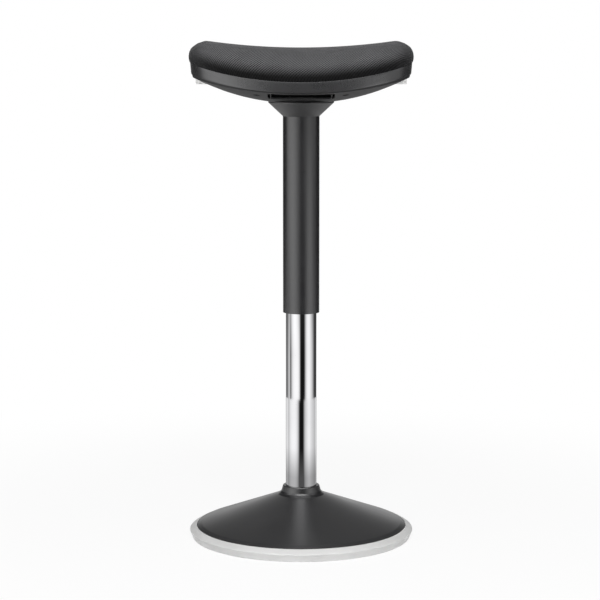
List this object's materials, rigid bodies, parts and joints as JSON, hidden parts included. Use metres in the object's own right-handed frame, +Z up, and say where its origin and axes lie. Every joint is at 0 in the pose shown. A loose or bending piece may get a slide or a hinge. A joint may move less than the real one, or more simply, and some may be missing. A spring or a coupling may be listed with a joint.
{
  "type": "height-adjustable stool",
  "caption": "Swivelling height-adjustable stool: padded saddle seat on a gas-lift column with a shell underneath, release paddles at both ends and a weighted round foot.",
  "frame": {"origin": "on the floor, at the middle of the round foot, on the column's axis", "axes": "+Z up the column; +X along the seat's long side, to the right seen from the front; the front faces -Y"},
  "size_m": [0.3631, 0.3632, 0.8025],
  "materials": {
    "ring": "satin",
    "shell_plastic": "fine grain",
    "dome_black": "satin",
    "sleeve_black": "satin",
    "chrome": "polished",
    "zinc_steel": "zinc plated",
    "black_steel": "satin",
    "ballast": "matte",
    "nylon": "natural",
    "rubber_black": "matte",
    "brass": "machined",
    "paddle_grey": "fine grain",
    "plywood": "raw veneer",
    "foam": "open cell",
    "fabric": "knitted mesh"
  },
  "bodies": {
    "base": {"floor_ring": "ring", "base_pad": "rubber_black", "ballast_plate": "ballast", "hub_socket": "ballast", "hub_bolts": "zinc_steel", "base_shell": "dome_black", "column_collar": "sleeve_black", "column_tube": "chrome", "column_bush": "nylon", "bearing_lower_race": "zinc_steel", "bearing_cage": "brass", "bearing_balls": "zinc_steel"},
    "rod": {"piston_rod": "zinc_steel", "bearing_upper_race": "zinc_steel", "rod_clip": "zinc_steel", "rubber_buffer": "rubber_black", "piston": "nylon"},
    "seat": {"gas_cylinder": "black_steel", "rod_guide": "brass", "valve_body": "zinc_steel", "sleeve": "sleeve_black", "sleeve_glide": "nylon", "bell_cover": "shell_plastic", "seat_bracket": "black_steel", "bracket_bolts": "zinc_steel", "board_tnuts": "zinc_steel", "bar_clips": "zinc_steel", "seat_shell": "shell_plastic", "shell_screws": "zinc_steel", "seat_board": "plywood", "seat_foam": "foam", "seat_cover": "fabric"},
    "release_bar": {"release_bar": "black_steel", "left_paddle": "paddle_grey", "right_paddle": "paddle_grey"},
    "valve_button": {"valve_button": "brass"}
  },
  "joints": [
    {"name": "seat_swivel", "type": "hinge", "parent": "base", "child": "rod", "pos_m": [0, 0, 0.02], "axis": [0, 0, 1], "continuous": true},
    {"name": "seat_height", "type": "slide", "parent": "rod", "child": "seat", "axis": [0, 0, 1], "range_m": [-0.2, 0.045]},
    {"name": "release", "type": "hinge", "parent": "seat", "child": "release_bar", "pos_m": [0, -0.018, 0.7261], "axis": [-1, 0, 0], "range_deg": [0, 8], "stiffness_Nm_per_rad": 2},
    {"name": "valve_press", "type": "slide", "parent": "seat", "child": "valve_button", "axis": [0, 0, -1], "range_m": [0, 0.00252]}
  ],
  "couplings": [
    {"joint": "valve_press", "follows": "release", "m_per_rad": 0.017942}
  ]
}
